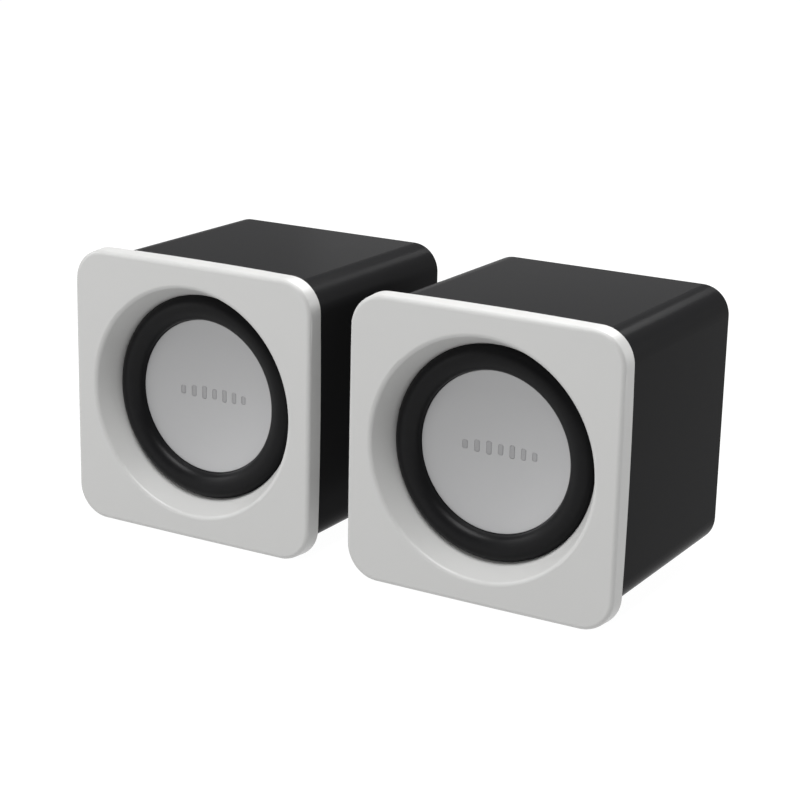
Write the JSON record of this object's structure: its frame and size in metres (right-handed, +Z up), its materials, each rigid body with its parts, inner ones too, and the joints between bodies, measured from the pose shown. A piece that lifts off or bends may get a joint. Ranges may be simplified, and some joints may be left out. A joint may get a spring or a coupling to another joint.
{
  "type": "desktop speakers",
  "caption": "Pair of small cube desktop speakers: black boxes with pale square flared front frames, wide silver driver caps, rear volume knob and sockets.",
  "frame": {"origin": "on the floor, under the centre of the pair's bounding box", "axes": "+X to the right seen from the front, +Y to the back, +Z up; the drivers face -Y"},
  "size_m": [0.15, 0.074, 0.0705],
  "materials": {
    "bezel_plastic": "matte",
    "cabinet_plastic": "satin",
    "panel_plastic": "matte",
    "knob_plastic": "satin",
    "foot_rubber": "matte",
    "roll_rubber": "satin",
    "gasket_foam": "matte",
    "cap_silver": "satin",
    "cone_paper": "matte",
    "spider_cloth": "matte",
    "copper": "satin",
    "frame_steel": "satin",
    "zinc_steel": "satin",
    "black_steel": "satin",
    "ferrite": "matte",
    "phenolic": "satin",
    "board_laminate": "satin",
    "chip_epoxy": "matte",
    "connector_nylon": "satin",
    "can_aluminium": "satin",
    "lead_sleeve": "satin",
    "jack_plastic": "satin",
    "nut_nickel": "polished"
  },
  "bodies": {
    "right_unit": {"right_amp_board": "board_laminate", "right_amp_chip": "chip_epoxy", "right_audio_socket": "jack_plastic", "right_board_screws": "zinc_steel", "right_cabinet": "cabinet_plastic", "right_capacitors": "can_aluminium", "right_driver_basket": "frame_steel", "right_driver_gasket": "gasket_foam", "right_driver_screws": "zinc_steel", "right_driver_wires": "lead_sleeve", "right_feet": "foot_rubber", "right_front_bezel": "bezel_plastic", "right_inductors": "ferrite", "right_jack_nuts": "nut_nickel", "right_link_socket": "jack_plastic", "right_magnet": "ferrite", "right_panel_screws": "black_steel", "right_pot_nut": "nut_nickel", "right_power_socket": "zinc_steel", "right_rear_panel": "panel_plastic", "right_spider": "spider_cloth", "right_surround": "roll_rubber", "right_terminal_lugs": "copper", "right_terminal_strip": "phenolic", "right_tinsel_leads": "copper", "right_top_plate": "zinc_steel", "right_volume_pot": "zinc_steel", "right_wire_connector": "connector_nylon", "right_yoke": "zinc_steel"},
    "left_unit": {"left_cabinet": "cabinet_plastic", "left_driver_basket": "frame_steel", "left_driver_gasket": "gasket_foam", "left_driver_screws": "zinc_steel", "left_driver_wires": "lead_sleeve", "left_feet": "foot_rubber", "left_front_bezel": "bezel_plastic", "left_jack_nuts": "nut_nickel", "left_link_socket": "jack_plastic", "left_magnet": "ferrite", "left_panel_screws": "black_steel", "left_rear_panel": "panel_plastic", "left_spider": "spider_cloth", "left_surround": "roll_rubber", "left_terminal_lugs": "copper", "left_terminal_strip": "phenolic", "left_tinsel_leads": "copper", "left_top_plate": "zinc_steel", "left_yoke": "zinc_steel"},
    "right_diaphragm": {"right_cone": "cone_paper", "right_dust_cap": "cap_silver", "right_voice_coil": "copper"},
    "left_diaphragm": {"left_cone": "cone_paper", "left_dust_cap": "cap_silver", "left_voice_coil": "copper"},
    "volume_knob": {"right_volume_shaft": "can_aluminium", "right_volume_knob": "knob_plastic"}
  },
  "joints": [
    {"name": "right_cone_travel", "type": "slide", "parent": "right_unit", "child": "right_diaphragm", "axis": [0, -1, 0], "range_m": [-0.0015, 0.0015], "stiffness_N_per_m": 1500, "deforming": ["right_surround", "right_spider", "right_tinsel_leads"]},
    {"name": "left_cone_travel", "type": "slide", "parent": "left_unit", "child": "left_diaphragm", "axis": [0, -1, 0], "range_m": [-0.0015, 0.0015], "stiffness_N_per_m": 1500, "deforming": ["left_surround", "left_spider", "left_tinsel_leads"]},
    {"name": "volume_knob_turn", "type": "hinge", "parent": "right_unit", "child": "volume_knob", "pos_m": [0.04, 0.03, 0.0455], "axis": [0, -1, 0], "range_deg": [0, 300]},
    {"name": "left_unit_spacing", "type": "slide", "parent": "right_unit", "child": "left_unit", "axis": [-1, 0, 0], "range_m": [0, 0.4]}
  ]
}
